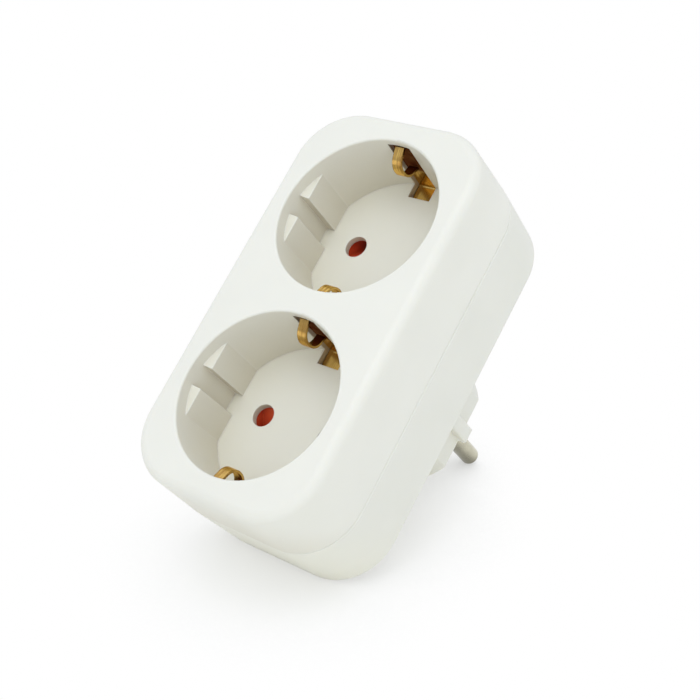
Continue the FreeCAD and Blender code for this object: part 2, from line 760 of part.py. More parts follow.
def shutter_tray():
    """The upper well's tray: it carries the shutter and its spring under the well's floor."""
    floor_low = tray_top_of_floor - tray_floor
    outer_x = tray_half + tray_wall
    tray = box(-outer_x, outer_x, tray_near - tray_wall, tray_far + tray_wall,
               floor_low, floor_under)
    tray = tray.cut(box(-tray_half, tray_half, tray_near, tray_far,
                        tray_top_of_floor, floor_under + overshoot))
    notch_half = earth_width / 2 + shutter_lap
    tray = tray.cut(box(-notch_half, notch_half, tray_near - 2 * tray_wall,
                        tray_far + 2 * tray_wall, strap_under - shutter_gap, floor_under + overshoot))
    for sx in (1, -1):
        x0, x1 = sx * pin_x - block_half, sx * pin_x + block_half
        tray = tray.cut(box(x0, x1, -block_half, block_half, floor_low - overshoot, floor_under))
        e0, e1 = sorted((sx * outer_x, sx * (outer_x + tray_ear)))
        tray = tray.fuse(box(e0, e1, -tray_ear / 2, tray_ear / 2,
                             floor_under - tray_ear_thickness, floor_under))
        tray = tray.cut(rod(peg_radius + peg_clearance, floor_low, floor_under + overshoot,
                            sx * (outer_x + tray_ear / 2)))
    spigot = Part.makeCone(spigot_radius, spigot_tip_radius, spigot_length,
                           V(0, tray_near, spring_z), V(0, 1, 0))
    tray = tray.fuse(spigot).removeSplitter().translated(V(0, well_spacing / 2, 0))
    for place in screw_places():
        tray = tray.cut(rod(column_radius + shutter_gap, floor_low - overshoot,
                            floor_under + overshoot, place.x, place.y))
    return tray


def shutter_spring():
    """The upper shutter's return spring, a coil of half turns between the two spigots."""
    free_length = spring_length - spring_wire - 2 * spring_end_gap
    rise = free_length / (2 * spring_turns)
    halves = []
    for i in range(2 * spring_turns):
        side = 1 if i % 2 == 0 else -1
        start = V(side * spring_radius, 0, i * rise)
        end = V(-side * spring_radius, 0, (i + 1) * rise)
        section = Part.Face(Part.Wire(Part.makeCircle(spring_wire / 2, start, V(0, 1, 0))))
        axis = (start - end).cross(V(0, 1, 0))
        halves.append(section.revolve((start + end) / 2, axis * side, 180))
    coil = halves[0].fuse(halves[1:])
    coil.rotate(V(0, 0, 0), V(1, 0, 0), 90)
    near = -block_half - spring_end_gap - spring_wire / 2
    return coil.translated(V(0, near + well_spacing / 2, spring_z))


def housing_screws():
    """The four cross-head screws that hold the rear cover on the front housing."""
    screws = []
    seat = back_z + screw_recess_depth
    head_low = seat - screw_head_height
    for place in screw_places():
        shank = rod(screw_core_radius, seat, seat + screw_length, place.x, place.y)
        head = rod(screw_head_radius, head_low, seat, place.x, place.y)
        head = head.makeFillet(screw_head_height / 3, edges_at(head, head_low))
        for size in ((cross_length, cross_width), (cross_width, cross_length)):
            half_x, half_y = size[0] / 2, size[1] / 2
            head = head.cut(box(place.x - half_x, place.x + half_x, place.y - half_y,
                                place.y + half_y, head_low - overshoot, head_low + cross_depth))
        screws.append(shank.fuse(head).removeSplitter())
    return Part.makeCompound(screws)


def all_pieces():
    """Every piece by its name, in the adapter's own axes."""
    right_pin = plug_pin()
    right_bar = busbar()
    upper_right_contact = contact_clip()
    upper_left_contact = mirrored_x(upper_right_contact)
    upper_strap = earth_strap()
    upper_shutter = shutter()
    upper_tray = shutter_tray()
    upper_spring = shutter_spring()
    return {
        "front_housing": front_housing(),
        "rear_cover": rear_cover(),
        "right_plug_pin": right_pin,
        "left_plug_pin": mirrored_x(right_pin),
        "right_busbar": right_bar,
        "left_busbar": mirrored_x(right_bar),
        "upper_right_contact": upper_right_contact,
        "lower_right_contact": mirrored_y(upper_right_contact),
        "upper_left_contact": upper_left_contact,
        "lower_left_contact": mirrored_y(upper_left_contact),
        "contact_rivets": contact_rivets(),
        "upper_earth_strap": upper_strap,
        "lower_earth_strap": mirrored_y(upper_strap),
        "earth_link": earth_link(),
        "plug_earth_strap": plug_earth_strap(),
        "earth_sleeve": earth_sleeve(),
        "earth_rivet": earth_rivet(),
        "upper_shutter": upper_shutter,
        "lower_shutter": mirrored_y(upper_shutter),
        "upper_shutter_tray": upper_tray,
        "lower_shutter_tray": mirrored_y(upper_tray),
        "upper_shutter_spring": upper_spring,
        "lower_shutter_spring": mirrored_y(upper_spring),
        "housing_screws": housing_screws(),
    }


def lean_angle():
    """The angle between the back face and the table when the adapter lies on its pins."""
    edge_y = -(body_length / 2 - rear_draft - back_edge_radius)
    edge_z = back_z + back_edge_radius
    tip_y = -(pin_radius - pin_tip_radius)
    tip_z = pin_tip_z + pin_tip_radius
    reach = math.hypot(tip_y - edge_y, tip_z - edge_z)
    slope = math.atan2(edge_z - tip_z, tip_y - edge_y)
    return math.degrees(slope + math.asin((pin_tip_radius - back_edge_radius) / reach))


def resting_placement(pieces):
    """The move that lays the adapter on the table, centred over the origin."""
    lean = FreeCAD.Rotation(V(1, 0, 0), lean_angle())
    shells = [pieces[name].copy() for name in ("front_housing", "rear_cover", "right_plug_pin")]
    for shell in shells:
        shell.Placement = FreeCAD.Placement(V(0, 0, 0), lean)
    bounds = Part.makeCompound(shells).optimalBoundingBox(False)
    middle_y = (bounds.YMin + bounds.YMax) / 2
    return FreeCAD.Placement(V(0, -middle_y, -bounds.ZMin), lean)


def main():
    """Builds every piece, lays it on the table and writes one file for each."""
    os.makedirs("parts", exist_ok=True)
    pieces = all_pieces()
    placement = resting_placement(pieces)
    print("lean", round(placement.Rotation.Angle * 180 / math.pi, 4), "shift", placement.Base)
    for name, shape in pieces.items():
        placed = shape.transformed(placement.toMatrix())
        placed.exportStep("parts/" + name + ".step")
        print(name, len(placed.Solids), placed.isValid(), round(placed.Volume, 2))


main()
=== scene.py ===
"""Looks of a two-way socket adapter: finishes, springs, table, light and camera."""

import json
import logging
import math
from dataclasses import dataclass, field
from enum import Enum

import bmesh
import bpy
from mathutils import Matrix, Vector

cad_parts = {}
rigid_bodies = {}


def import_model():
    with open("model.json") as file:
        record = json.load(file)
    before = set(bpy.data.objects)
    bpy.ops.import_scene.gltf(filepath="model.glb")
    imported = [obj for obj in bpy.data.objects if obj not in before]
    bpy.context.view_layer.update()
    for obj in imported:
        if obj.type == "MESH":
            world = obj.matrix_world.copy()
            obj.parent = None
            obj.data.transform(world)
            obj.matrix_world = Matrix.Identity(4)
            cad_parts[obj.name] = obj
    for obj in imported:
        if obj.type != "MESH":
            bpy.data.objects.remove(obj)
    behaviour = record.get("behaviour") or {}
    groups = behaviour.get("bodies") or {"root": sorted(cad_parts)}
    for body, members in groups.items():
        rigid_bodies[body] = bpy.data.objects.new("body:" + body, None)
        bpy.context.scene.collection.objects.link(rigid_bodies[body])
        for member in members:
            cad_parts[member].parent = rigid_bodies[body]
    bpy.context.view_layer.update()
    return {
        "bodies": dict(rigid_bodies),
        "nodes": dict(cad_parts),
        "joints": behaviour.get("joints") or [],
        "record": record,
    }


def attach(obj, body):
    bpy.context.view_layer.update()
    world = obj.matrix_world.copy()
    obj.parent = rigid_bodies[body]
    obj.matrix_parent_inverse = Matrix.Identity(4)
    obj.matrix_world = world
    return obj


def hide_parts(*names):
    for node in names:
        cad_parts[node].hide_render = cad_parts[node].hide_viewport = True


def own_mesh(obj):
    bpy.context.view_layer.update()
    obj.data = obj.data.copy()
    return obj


LOG = logging.getLogger("adapter")

# The adapter's own axes: X across, Y from well to well, Z out of the front face at Z = 0.
OWN_LEAN = math.radians(41.7096)
OWN_ORIGIN = (0.0, -0.0131294, 0.0610532)
OWN_FRONT = (0.0, -math.sin(OWN_LEAN), math.cos(OWN_LEAN))
WELL_MIDDLE = 0.02325

EDGE_SAMPLES = 4
SOFT_EDGE_SAMPLES = 6
SKY_SAMPLES = 8

Colour = tuple[float, float, float]
Place = tuple[float, float, float]
Span = tuple[float, float]
Socket = bpy.types.NodeSocket
Outputs = bpy.types.NodeOutputs
Inputs = bpy.types.NodeInputs
Node = bpy.types.Node
Tree = bpy.types.NodeTree
Material = bpy.types.Material


class Well(Enum):
    """The two socket wells."""

    UPPER = "upper"
    LOWER = "lower"


class Effect(Enum):
    """The shader groups that several finishes share."""

    GRAIN = "surface_grain"
    STREAKS = "drawing_streaks"
    EDGES = "edge_mask"
    RECESS = "recess_mask"
    STEEP = "steep_face_mask"
    UNDER = "underside_mask"
    LEDGE = "ledge_mask"
    SLOT = "clip_slot_mask"
    DUST = "settled_dust"


class NodeSheet:
    """A node tree with short ways to add nodes and join them."""

    def __init__(self, tree: Tree) -> None:
        """Keeps the tree that is worked on."""
        self.tree = tree

    def find(self, kind: str) -> Node:
        """The tree's first node of a type."""
        return next(node for node in self.tree.nodes if node.type == kind)

    def add(self, kind: str, **inputs: object) -> Node:
        """Adds one node.

        Args:
            kind: The node's type, without the words ShaderNode.
            inputs: Socket values by socket name, with _ for a space.

        Returns:
            The new node.
        """
        node = self.tree.nodes.new("ShaderNode" + kind)
        for name, value in inputs.items():
            node.inputs[name.replace("_", " ")].default_value = value
        return node

    def join(self, source: Socket, target: Socket) -> None:
        """Draws one wire."""
        self.tree.links.new(source, target)

    def feed(self, value: object, target: Socket) -> None:
        """Gives an input its value.

        Args:
            value: A socket to wire, or a number or a vector to set.
            target: The input.
        """
        if isinstance(value, Socket):
            self.join(value, target)
        else:
            target.default_value = value

    def operate(self, kind: str, operation: str, first: object, second: object) -> Node:
        """Adds a node that works on two values.

        Args:
            kind: The node's type, without the words ShaderNode.
            operation: What it does with them.
            first: A socket, a number or a vector.
            second: A socket, a number or a vector.

        Returns:
            The new node.
        """
        node = self.add(kind)
        node.operation = operation
        for target, value in zip(node.inputs, (first, second)):
            self.feed(value, target)
        return node

    def maths(self, operation: str, first: object, second: object = 0.5) -> Socket:
        """Adds a Math node.

        Args:
            operation: The node's operation.
            first: A socket or a number.
            second: A socket or a number.

        Returns:
            The node's output.
        """
        return self.operate("Math", operation, first, second).outputs[0]

    def product(self, first: object, *others: object) -> Socket:
        """Multiplies sockets and numbers.

        Args:
            first: A socket, or a number where others follow.
            others: More sockets or numbers.

        Returns:
            Their product.
        """
        for other in others:
            first = self.maths("MULTIPLY", first, other)
        return first

    def blend(self, mask: Socket, low: object, high: object) -> Socket:
        """Mixes two colours by a mask.

        Args:
            mask: The share of the second colour.
            low: A colour or socket where the mask is 0.
            high: A colour or socket where the mask is 1.

        Returns:
            The mixed colour.
        """
        node = self.add("Mix")
        node.data_type = "RGBA"
        self.join(mask, node.inputs[0])
        for target, value in ((node.inputs[6], low), (node.inputs[7], high)):
            self.feed((*value, 1.0) if isinstance(value, tuple) else value, target)
        return node.outputs[2]

    def spread(self, value: Socket, low: float, high: float,
               start: object = 0.0, end: object = 1.0) -> Socket:
        """Maps a value from one range to another.

        Args:
            value: The value to map.
            low: The result at the start of the range.
            high: The result at its end.
            start: The start of the range, a socket or a number.
            end: The end of the range, a socket or a number.

        Returns:
            The mapped value, held between low and high.
        """
        node = self.add("MapRange", To_Min=low, To_Max=high)
        self.join(value, node.inputs["Value"])
        self.feed(start, node.inputs["From Min"])
        self.feed(end, node.inputs["From Max"])
        return node.outputs["Result"]

    def noise(self, place: Socket, scale: object, detail: float, roughness: float) -> Socket:
        """Adds a noise texture.

        Args:
            place: The place to read the noise at.
            scale: How many waves a metre has, a socket or a number.
            detail: How many finer layers lie on it.
            roughness: How strong the finer layers are.

        Returns:
            The noise, about 0.5 in the mean.
        """
        node = self.add("TexNoise", Detail=detail, Roughness=roughness)
        self.join(place, node.inputs["Vector"])
        self.feed(scale, node.inputs["Scale"])
        return node.outputs["Fac"]

    def split(self, vector: Socket) -> Outputs:
        """The parts of a vector, by the names X, Y and Z."""
        node = self.add("SeparateXYZ")
        self.join(vector, node.inputs[0])
        return node.outputs

    def place(self) -> Socket:
        """The place on the object, in metres."""
        return self.add("TexCoord").outputs["Object"]

    def normal(self) -> Socket:
        """The direction that the surface faces."""
        return self.add("NewGeometry").outputs["Normal"]

    def open_sky(self, reach: object) -> Socket:
        """Measures how little is in the way of a surface.

        Args:
            reach: How far it looks in metres, a socket or a number.

        Returns:
            From 0 where it is all closed in to 1 in the open.
        """
        node = self.add("AmbientOcclusion")
        node.samples = SKY_SAMPLES
        self.feed(reach, node.inputs["Distance"])
        return node.outputs["AO"]


class EffectShelf:
    """Builds each shared shader group once and hands it out."""

    def __init__(self) -> None:
        """Starts with no group built."""
        self.groups: dict[Effect, Tree] = {}

    def get(self, effect: Effect) -> Tree:
        """Hands out a group, which is built at its first use.

        Args:
            effect: The effect that is wanted.

        Returns:
            Its group.
        """
        if effect not in self.groups:
            makers = {
                Effect.GRAIN: self._grain,
                Effect.STREAKS: self._streaks,
                Effect.EDGES: self._edges,
                Effect.RECESS: self._recess,
                Effect.STEEP: self._steep,
                Effect.UNDER: self._under,
                Effect.LEDGE: self._ledge,
                Effect.SLOT: self._slot,
                Effect.DUST: self._dust,
            }
            self.groups[effect] = makers[effect]()
        return self.groups[effect]

    def _start(self, effect: Effect, inputs: dict[str, float],
               outputs: list[str]) -> tuple[NodeSheet, Outputs, Inputs]:
        """Opens a new group.

        Args:
            effect: The effect that the group is for.
            inputs: Input names with their default values.
            outputs: Output names.

        Returns:
            The sheet, the group's given values and the sockets that take its results.
        """
        tree = bpy.data.node_groups.new(effect.value, "ShaderNodeTree")
        for name, value in inputs.items():
            socket = tree.interface.new_socket(name, in_out="INPUT", socket_type="NodeSocketFloat")
            socket.default_value = value
        for name in outputs:
            tree.interface.new_socket(name, in_out="OUTPUT", socket_type="NodeSocketFloat")
        given = tree.nodes.new("NodeGroupInput").outputs
        made = tree.nodes.new("NodeGroupOutput").inputs
        return NodeSheet(tree), given, made

    def _grain(self) -> Tree:
        """Fine moulded grain over slow, broad flow patches."""
        sheet, given, made = self._start(
            Effect.GRAIN, {"Fineness": 2500.0, "Patches": 60.0}, ["Height", "Patch"])
        place = sheet.place()
        fine = sheet.noise(place, given["Fineness"], detail=3.0, roughness=0.55)
        broad = sheet.noise(place, given["Patches"], detail=2.0, roughness=0.5)
        sheet.join(sheet.maths("ADD", fine, sheet.product(broad, 0.6)), made["Height"])
        sheet.join(sheet.spread(broad, 0.0, 1.0, 0.35, 0.65), made["Patch"])
        return sheet.tree

    def _streaks(self) -> Tree:
        """Long fine lines left by rolling, drawing or turning."""
        sheet, given, made = self._start(
            Effect.STREAKS,
            {"Along_X": 1.0, "Along_Y": 1.0, "Along_Z": 1.0, "Fineness": 3000.0},
            ["Height", "Line"])
        squeeze = sheet.add("CombineXYZ")
        for axis in ("X", "Y", "Z"):
            sheet.join(given["Along_" + axis], squeeze.inputs[axis])
        stretched = sheet.operate("VectorMath", "MULTIPLY", sheet.place(), squeeze.outputs[0])
        lines = sheet.noise(stretched.outputs["Vector"], given["Fineness"], 4.0, 0.6)
        sheet.join(lines, made["Height"])
        sheet.join(sheet.spread(lines, 0.0, 1.0, 0.35, 0.70), made["Line"])
        return sheet.tree

    def _edges(self) -> Tree:
        """A mask that is 1 on edges and corners and 0 on open faces."""
        sheet, given, made = self._start(Effect.EDGES, {"Radius": 0.0004}, ["Edge"])
        soft = sheet.add("Bevel")
        soft.samples = EDGE_SAMPLES
        sheet.join(given["Radius"], soft.inputs["Radius"])
        facing = sheet.operate("VectorMath", "DOT_PRODUCT", soft.outputs["Normal"],
                               sheet.normal())
        sheet.join(sheet.spread(facing.outputs["Value"], 1.0, 0.0, 0.90, 0.998), made["Edge"])
        return sheet.tree

    def _recess(self) -> Tree:
        """A mask that is 1 deep between other faces and 0 in the open."""
        sheet, given, made = self._start(
            Effect.RECESS, {"Reach": 0.006, "Depth": 0.35}, ["Recess"])
        above = sheet.maths("SUBTRACT", sheet.open_sky(given["Reach"]), given["Depth"])
        share = sheet.maths("DIVIDE", above, sheet.maths("SUBTRACT", 1.0, given["Depth"]))
        sheet.join(sheet.spread(share, 1.0, 0.0, 0.0, 0.85), made["Recess"])
        return sheet.tree

    def _steep(self) -> Tree:
        """A mask that is 1 on faces square to the front face and 0 on faces along it."""
        sheet, given, made = self._start(Effect.STEEP, {"Flat": 0.8}, ["Steep"])
        facing = sheet.operate("VectorMath", "DOT_PRODUCT", sheet.normal(), OWN_FRONT)
        flat = sheet.maths("DIVIDE", facing.outputs["Value"], given["Flat"])
        sheet.join(sheet.spread(flat, 1.0, 0.0), made["Steep"])
        return sheet.tree

    def _under(self) -> Tree:
        """A mask that is 1 on faces that look down and 0 on upright faces."""
        sheet, given, made = self._start(Effect.UNDER, {"From": 0.05, "To": 0.50}, ["Under"])
        downward = sheet.product(sheet.split(sheet.normal())["Z"], -1.0)
        sheet.join(sheet.spread(downward, 0.0, 1.0, given["From"], given["To"]), made["Under"])
        return sheet.tree

    def _own_place(self, sheet: NodeSheet) -> tuple[Socket, Socket, Socket]:
        """The place in the adapter's own axes.

        Args:
            sheet: The group's node sheet.

        Returns:
            The place across, the place from well to well, and the depth below the front face.
        """
        turn = sheet.add("Mapping", Location=OWN_ORIGIN, Rotation=(OWN_LEAN, 0.0, 0.0))
        turn.vector_type = "TEXTURE"
        sheet.join(sheet.place(), turn.inputs["Vector"])
        own = sheet.split(turn.outputs["Vector"])
        return own["X"], own["Y"], sheet.product(own["Z"], -1.0)

    def _ledge(self) -> Tree:
        """A mask that is 1 at the level of the guide blocks' tops, just below the front face."""
        sheet, given, made = self._start(
            Effect.LEDGE, {"From": 0.0015, "To": 0.0030, "Fade": 0.008, "End": 0.012}, ["Ledge"])
        _, _, depth = self._own_place(sheet)
        below = sheet.spread(depth, 0.0, 1.0, given["From"], given["To"])
        above = sheet.spread(depth, 0.0, 1.0, given["End"], given["Fade"])
        sheet.join(sheet.product(below, above), made["Ledge"])
        return sheet.tree

    def _slot(self) -> Tree:
        """Masks for the earth clips' slots, and for the slots' upper part alone."""
        sheet, given, made = self._start(
            Effect.SLOT,
            {"From": 0.0150, "To": 0.0155, "Low": 0.019, "High": 0.018, "Half_Width": 0.0035},
            ["Slot", "Upper"])
        across, along, depth = self._own_place(sheet)
        from_middle = sheet.maths("ABSOLUTE", along)
        from_centre = sheet.maths("ABSOLUTE", sheet.maths("SUBTRACT", from_middle, WELL_MIDDLE))
        narrow = sheet.maths("LESS_THAN", sheet.maths("ABSOLUTE", across), given["Half_Width"])
        outer = sheet.spread(from_centre, 0.0, 1.0, given["From"], given["To"])
        slot = sheet.product(outer, narrow)
        sheet.join(slot, made["Slot"])
        upper = sheet.spread(depth, 0.0, 1.0, given["Low"], given["High"])
        sheet.join(sheet.product(slot, upper), made["Upper"])
        return sheet.tree

    def _dust(self) -> Tree:
        """A faint dust layer that lies on faces that look up."""
        sheet, given, made = self._start(Effect.DUST, {"Amount": 0.2}, ["Film"])
        upward = sheet.spread(sheet.split(sheet.normal())["Z"], 0.0, 1.0, 0.2, 1.0)
        cloud = sheet.noise(sheet.place(), 220.0, detail=5.0, roughness=0.65)
        patchy = sheet.spread(cloud, 0.0, 1.0, 0.45, 0.75)
        sheet.join(sheet.product(upward, patchy, given["Amount"]), made["Film"])
        return sheet.tree


@dataclass(frozen=True)
class Tint:
    """A second colour that some places of a finish take.

    Attributes:
        colour: The colour.
        share: How much of it shows there.
        reach: How near other faces must be in metres, or how wide an edge is.
        depth: The share of open sky below which the colour is complete.
    """

    colour: Colour
    share: float = 1.0
    reach: float = 0.006
    depth: float = 0.35


class FinishSheet(NodeSheet):
    """A material's node tree, with the shared groups at hand."""

    def __init__(self, tree: Tree, shelf: EffectShelf) -> None:
        """Keeps the tree and the shelf of groups."""
        super().__init__(tree)
        self.shelf = shelf

    def effect(self, effect: Effect, **inputs: float) -> Outputs:
        """Puts a shared group into the material.

        Args:
            effect: The group to place.
            inputs: The group's values in this material.

        Returns:
            The group's outputs.
        """
        node = self.tree.nodes.new("ShaderNodeGroup")
        node.node_tree = self.shelf.get(effect)
        for name, value in inputs.items():
            node.inputs[name].default_value = value
        return node.outputs

    def recess(self, tint: Tint) -> Socket:
        """The mask of a tint that lies between near faces.

        Args:
            tint: The tint, whose reach and depth are used.

        Returns:
            The mask.
        """
        return self.effect(Effect.RECESS, Reach=tint.reach, Depth=tint.depth)["Recess"]


@dataclass(frozen=True)
class Finish:
    """What every finish shares.

    Attributes:
        name: The material's name.
        colour: The main colour.
        roughness: The mean roughness.
        edge_radius: How far sharp edges are rounded off, in metres.
    """

    name: str
    colour: Colour
    roughness: float
    edge_radius: float

    def open_sheet(self, shelf: EffectShelf) -> tuple[Material, FinishSheet, Node]:
        """Starts a material.

        Args:
            shelf: Where the shared groups are kept.

        Returns:
            The material, its node sheet and its shader.
        """
        material = bpy.data.materials.new(self.name)
        material.use_nodes = True
        material.diffuse_color = (*self.colour, 1.0)
        sheet = FinishSheet(material.node_tree, shelf)
        return material, sheet, sheet.find("BSDF_PRINCIPLED")

    def round_edges(self, sheet: FinishSheet, shader: Node, height: Socket, depth: float,
                    strength: float) -> None:
        """Joins bump and softened edges to the shader.

        Args:
            sheet: The material's sheet.
            shader: The shader that takes the normal.
            height: The relief.
            depth: The relief's depth in metres.
            strength: The relief's strength.
        """
        soft = sheet.add("Bevel", Radius=self.edge_radius)
        soft.samples = SOFT_EDGE_SAMPLES
        bump = sheet.add("Bump", Strength=strength, Distance=depth)
        sheet.join(height, bump.inputs["Height"])
        sheet.join(soft.outputs["Normal"], bump.inputs["Normal"])
        sheet.join(bump.outputs["Normal"], shader.inputs["Normal"])


@dataclass(frozen=True)
class MouldedPlastic(Finish):
    """An injection-moulded plastic.

    Attributes:
        dense: The colour of slightly denser flow patches.
        grain: The grain's size in metres.
        patches: How many flow patches a metre has.
        relief: The grain's depth in metres.
        relief_strength: How clearly the grain shows.
        gloss_spread: How far the roughness falls and rises from its mean.
        refraction: The index of refraction.
        glow: How much light travels under the surface.
        glow_hue: How far each colour of that light travels, as a share.
        glow_reach: How far it travels in metres.
        dust: How much dust lies on faces that look up.
        dust_colour: The dust's colour.
        shade: The warmer painted shade deep inside wells and recesses.
        rim_highlight: The paler painted highlight along edges.
    """

    dense: Colour
    grain: float = 0.0004
    patches: float = 70.0
    relief: float = 0.000012
    relief_strength: float = 0.5
    gloss_spread: Span = (-0.04, 0.05)
    refraction: float = 1.52
    glow: float = 0.0
    glow_hue: Colour = (1.0, 0.85, 0.6)
    glow_reach: float = 0.0012
    dust: float = 0.1
    dust_colour: Colour = (0.74, 0.73, 0.69)
    shade: Tint = Tint((0.865, 0.845, 0.725), reach=0.030, depth=0.15)
    rim_highlight: Tint = Tint((0.93, 0.92, 0.86), share=0.8, reach=0.0005)

    def make(self, shelf: EffectShelf) -> Material:
        """Builds the material.

        Args:
            shelf: Where the shared groups are kept.

        Returns:
            The finished material.
        """
        material, sheet, shader = self.open_sheet(shelf)
        grain = sheet.effect(Effect.GRAIN, Fineness=1 / self.grain, Patches=self.patches)
        dust_and_shade_layer = sheet.effect(Effect.DUST, Amount=self.dust)["Film"]
        deep = sheet.recess(self.shade)
        body = sheet.blend(grain["Patch"], self.colour, self.dense)
        # Painted shade deep in wells and recesses, warmer there.
        body = sheet.blend(deep, body, self.shade.colour)
        body = self.paint_shade(sheet, body, deep)
        # Painted highlight along edges.
        edge = sheet.effect(Effect.EDGES, Radius=self.rim_highlight.reach)["Edge"]
        body = sheet.blend(sheet.product(edge, self.rim_highlight.share), body, self.rim_highlight.colour)
        body = sheet.blend(dust_and_shade_layer, body, self.dust_colour)
        sheet.join(body, shader.inputs["Base Color"])
        smooth, coarse = (self.roughness + step for step in self.gloss_spread)
        rough = sheet.maths("ADD", sheet.spread(grain["Patch"], smooth, coarse), dust_and_shade_layer)
        sheet.join(rough, shader.inputs["Roughness"])
        shader.inputs["IOR"].default_value = self.refraction
        shader.inputs["Subsurface Weight"].default_value = self.glow
        shader.inputs["Subsurface Radius"].default_value = self.glow_hue
        shader.inputs["Subsurface Scale"].default_value = self.glow_reach
        self.round_edges(sheet, shader, grain["Height"], self.relief, self.relief_strength)
        return material

    def paint_shade(self, sheet: FinishSheet, body: Socket, deep: Socket) -> Socket:
        """Adds a moulding's own painted shade; a plain moulding has none.

        Args:
            sheet: The material's sheet.
            body: The colour so far.
            deep: The mask of the recesses.

        Returns:
            The colour with its painted shade.
        """
        return body


@dataclass(frozen=True)
class WellPlastic(MouldedPlastic):
    """The front housing's plastic, with painted shade inside its wells.

    Attributes:
        wall_shade: The painted shade on deep faces that stand square to the front face.
        ledge: The painted shade on the guide blocks' tops.
        slot: The painted shade inside the earth clips' slots, brown as from light off the brass.
        slot_top: Where a second coat of it ends and is full below the front face, in metres.
        painted_corner: The painted shade line along inner corners.
    """

    wall_shade: Tint = Tint((0.60, 0.545, 0.43), share=0.75)
    ledge: Tint = Tint((0.76, 0.735, 0.60), share=0.65)
    slot: Tint = Tint((0.20, 0.10, 0.045), share=0.55, reach=0.0035, depth=0.25)
    slot_top: Span = (0.0105, 0.0045)
    painted_corner: Tint = Tint((0.62, 0.54, 0.43), share=0.5, reach=0.0007, depth=0.4)

    def paint_shade(self, sheet: FinishSheet, body: Socket, deep: Socket) -> Socket:
        """Adds the painted shade of walls, guide blocks, slots and inner corners.

        Args:
            sheet: The material's sheet.
            body: The colour so far.
            deep: The mask of the recesses.

        Returns:
            The colour with its painted shade.
        """
        steep = sheet.effect(Effect.STEEP)["Steep"]
        level = sheet.maths("SUBTRACT", 1.0, steep)
        tops = sheet.effect(Effect.LEDGE)["Ledge"]
        near = sheet.recess(self.slot)
        inside = sheet.effect(Effect.SLOT, Low=self.slot_top[0], High=self.slot_top[1])
        line = sheet.recess(self.painted_corner)
        # Painted shade: on steep well walls, on the guide blocks' tops, inside the clip slots and
        # along inner corners.
        masks = (
            (self.wall_shade, sheet.product(steep, deep, self.wall_shade.share)),
            (self.ledge, sheet.product(tops, level, self.ledge.share)),
            (self.slot, sheet.product(near, inside["Slot"], self.slot.share)),
            (self.slot, sheet.product(near, inside["Upper"])),
            (self.painted_corner, sheet.product(line, self.painted_corner.share)),
        )
        for tint, mask in masks:
            body = sheet.blend(mask, body, tint.colour)
        return body


@dataclass(frozen=True)
class WorkedMetal(Finish):
    """Sheet, wire or bar metal with lines along its length.

    Attributes:
        tarnish: The colour of its duller patches.
        edge_wear_and_shade: The tint of its rubbed edges.
        along: How much each axis is stretched, from 0 to 1; small is long lines.
        lines: The width of the lines in metres.
        streak: How clearly the lines show in the colour.
        relief: The lines' depth in metres.
        relief_strength: How clearly that depth shows.
        gloss_spread: How far the roughness falls and rises from its mean along the lines.
        fineness: How many grains a metre has.
        patches: How many dull patches a metre has.
        dullness: How much tarnish the patches have.
        dull_roughness: How much rougher the patches are.
        painted_corner: The colour painted deep in corners for the light there: a painted shade on
            most metals, a lighter brass on the clips.
        underside: How much of that painted shade lies on faces that look down.
    """

    tarnish: Colour
    edge_wear_and_shade: Tint
    along: tuple[float, float, float] = (1.0, 0.06, 0.06)
    lines: float = 0.00012
    streak: float = 0.25
    relief: float = 0.000006
    relief_strength: float = 0.6
    gloss_spread: Span = (-0.05, 0.08)
    fineness: float = 1500.0
    patches: float = 260.0
    dullness: float = 0.7
    dull_roughness: float = 0.12
    painted_corner: Tint = Tint((0.16, 0.07, 0.03))
    underside: float = 0.0

    def make(self, shelf: EffectShelf) -> Material:
        """Builds the material.

        Args:
            shelf: Where the shared groups are kept.

        Returns:
            The finished material.
        """
        material, sheet, shader = self.open_sheet(shelf)
        lines = sheet.effect(Effect.STREAKS, Along_X=self.along[0], Along_Y=self.along[1],
                             Along_Z=self.along[2], Fineness=1 / self.lines)
        grain = sheet.effect(Effect.GRAIN, Fineness=self.fineness, Patches=self.patches)
        edge = sheet.effect(Effect.EDGES, Radius=self.edge_wear_and_shade.reach)["Edge"]
        dull = sheet.product(grain["Patch"], self.dullness)
        body = sheet.blend(dull, self.colour, self.tarnish)
        body = sheet.blend(sheet.product(lines["Line"], self.streak), body, self.tarnish)
        # Edge tint: paler rubbed wear on most metals, a darker painted shade along the clip
        # brass's edges.
        body = sheet.blend(sheet.product(edge, self.edge_wear_and_shade.share), body, self.edge_wear_and_shade.colour)
        # Painted shade deep in corners; on the clip brass a lighter painted brass in its recesses.
        body = sheet.blend(sheet.recess(self.painted_corner), body, self.painted_corner.colour)
        if self.underside > 0:
            # Painted shade on faces that look down.
            under = sheet.effect(Effect.UNDER)["Under"]
            body = sheet.blend(sheet.product(under, self.underside), body, self.painted_corner.colour)
        sheet.join(body, shader.inputs["Base Color"])
        shader.inputs["Metallic"].default_value = 1.0
        smooth, coarse = (self.roughness + step for step in self.gloss_spread)
        rough = sheet.maths("ADD", sheet.spread(lines["Line"], smooth, coarse),
                            sheet.product(dull, self.dull_roughness))
        sheet.join(rough, shader.inputs["Roughness"])
        self.round_edges(sheet, shader, lines["Height"], self.relief, self.relief_strength)
        return material


